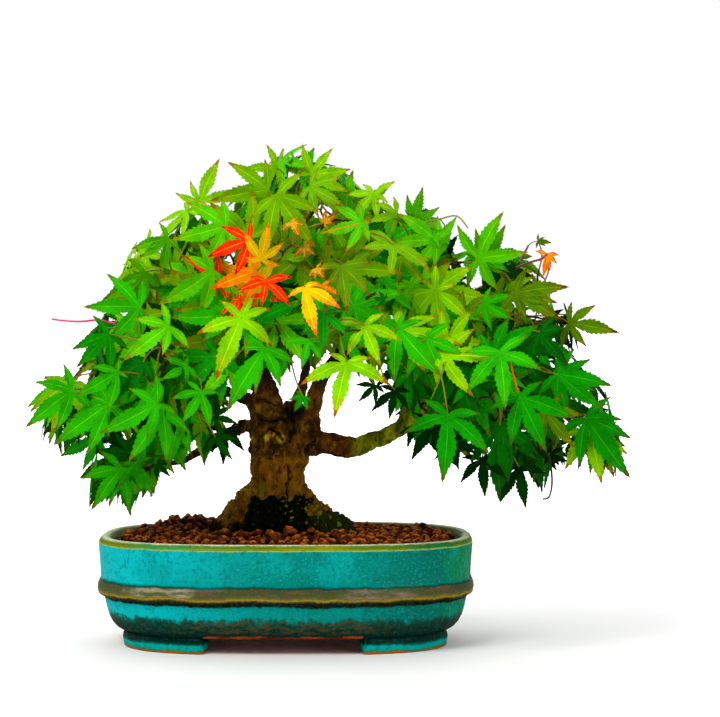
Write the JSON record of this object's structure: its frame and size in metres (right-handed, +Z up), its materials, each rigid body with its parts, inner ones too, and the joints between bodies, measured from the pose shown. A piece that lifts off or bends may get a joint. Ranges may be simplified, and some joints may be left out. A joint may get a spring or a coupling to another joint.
{
  "type": "potted bonsai tree",
  "caption": "Small Japanese maple bonsai with a swollen, forked trunk and lobed green leaves, growing in an oval turquoise glazed pot on corner feet.",
  "frame": {"origin": "middle of the bounding box in plan, at the flat undersides of the pot's feet", "axes": "+Z up; +X along the pot's long side and the crown's longest reach, to the viewer's right; -Y is the front of the tree"},
  "size_m": [0.2154, 0.2014, 0.1761],
  "materials": {
    "glaze": "gloss",
    "soil": "matte",
    "bark": "matte",
    "leaf": "satin"
  },
  "bodies": {
    "root": {"pot": "glaze", "soil": "soil", "trunk": "bark", "bough_right": "bark", "bough_right_end": "bark", "bough_right_front": "bark", "bough_right_back": "bark", "bough_right_rising": "bark", "bough_upper_right": "bark", "bough_left": "bark", "bough_left_middle": "bark", "bough_left_front": "bark", "bough_left_back": "bark", "bough_back": "bark", "bough_front": "bark", "bough_upper_left": "bark", "bough_upper_front": "bark", "bough_upper_back": "bark", "foliage_apex": "leaf", "foliage_upper_left": "leaf", "foliage_upper_right": "leaf", "foliage_upper_front": "leaf", "foliage_upper_back": "leaf", "foliage_left": "leaf", "foliage_lower_left": "leaf", "foliage_front_left": "leaf", "foliage_front": "leaf", "foliage_front_right": "leaf", "foliage_right_low": "leaf", "foliage_right": "leaf", "foliage_back_right": "leaf", "foliage_back": "leaf", "foliage_back_left": "leaf"}
  },
  "joints": []
}
